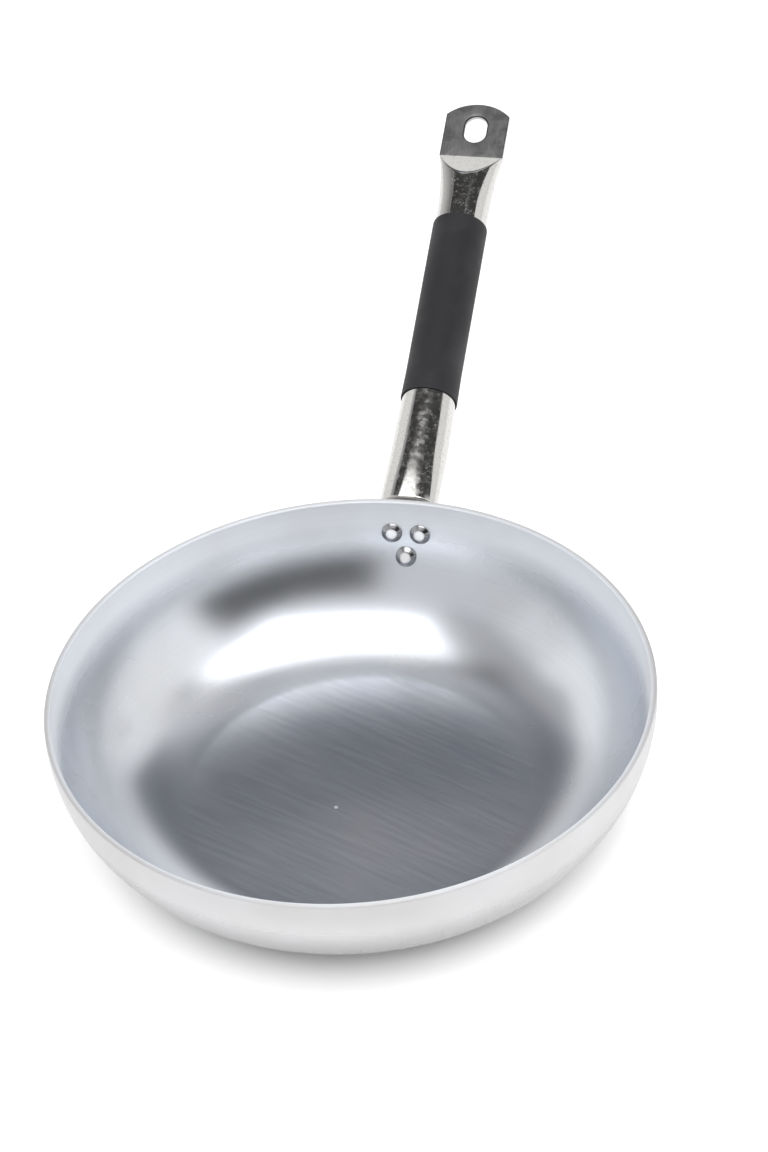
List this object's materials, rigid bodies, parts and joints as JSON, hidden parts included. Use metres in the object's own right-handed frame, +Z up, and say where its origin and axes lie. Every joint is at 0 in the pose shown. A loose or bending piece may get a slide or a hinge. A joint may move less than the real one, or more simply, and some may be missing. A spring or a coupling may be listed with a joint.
{
  "type": "deep frying pan",
  "caption": "Deep frying pan with a spun aluminium bowl, a riveted steel tube handle with a black rubber sleeve, and a flat hang tab with an oval hole.",
  "frame": {"origin": "middle of the flat base, on the surface the pan stands on", "axes": "+Z up out of the bowl, +Y along the handle away from the bowl, +X to the right seen from the bowl's free side"},
  "size_m": [0.28, 0.5092, 0.1312],
  "materials": {
    "spun_aluminium": "satin, with fine spinning and rolling lines",
    "polished_steel": "polished tube, brushed on the tab",
    "black_rubber": "matte",
    "rivet_aluminium": "satin"
  },
  "bodies": {
    "root": {"pan_shell": "spun_aluminium", "handle_tube": "polished_steel", "grip_sleeve": "black_rubber", "rivet_left": "rivet_aluminium", "rivet_right": "rivet_aluminium", "rivet_bottom": "rivet_aluminium"}
  },
  "joints": []
}
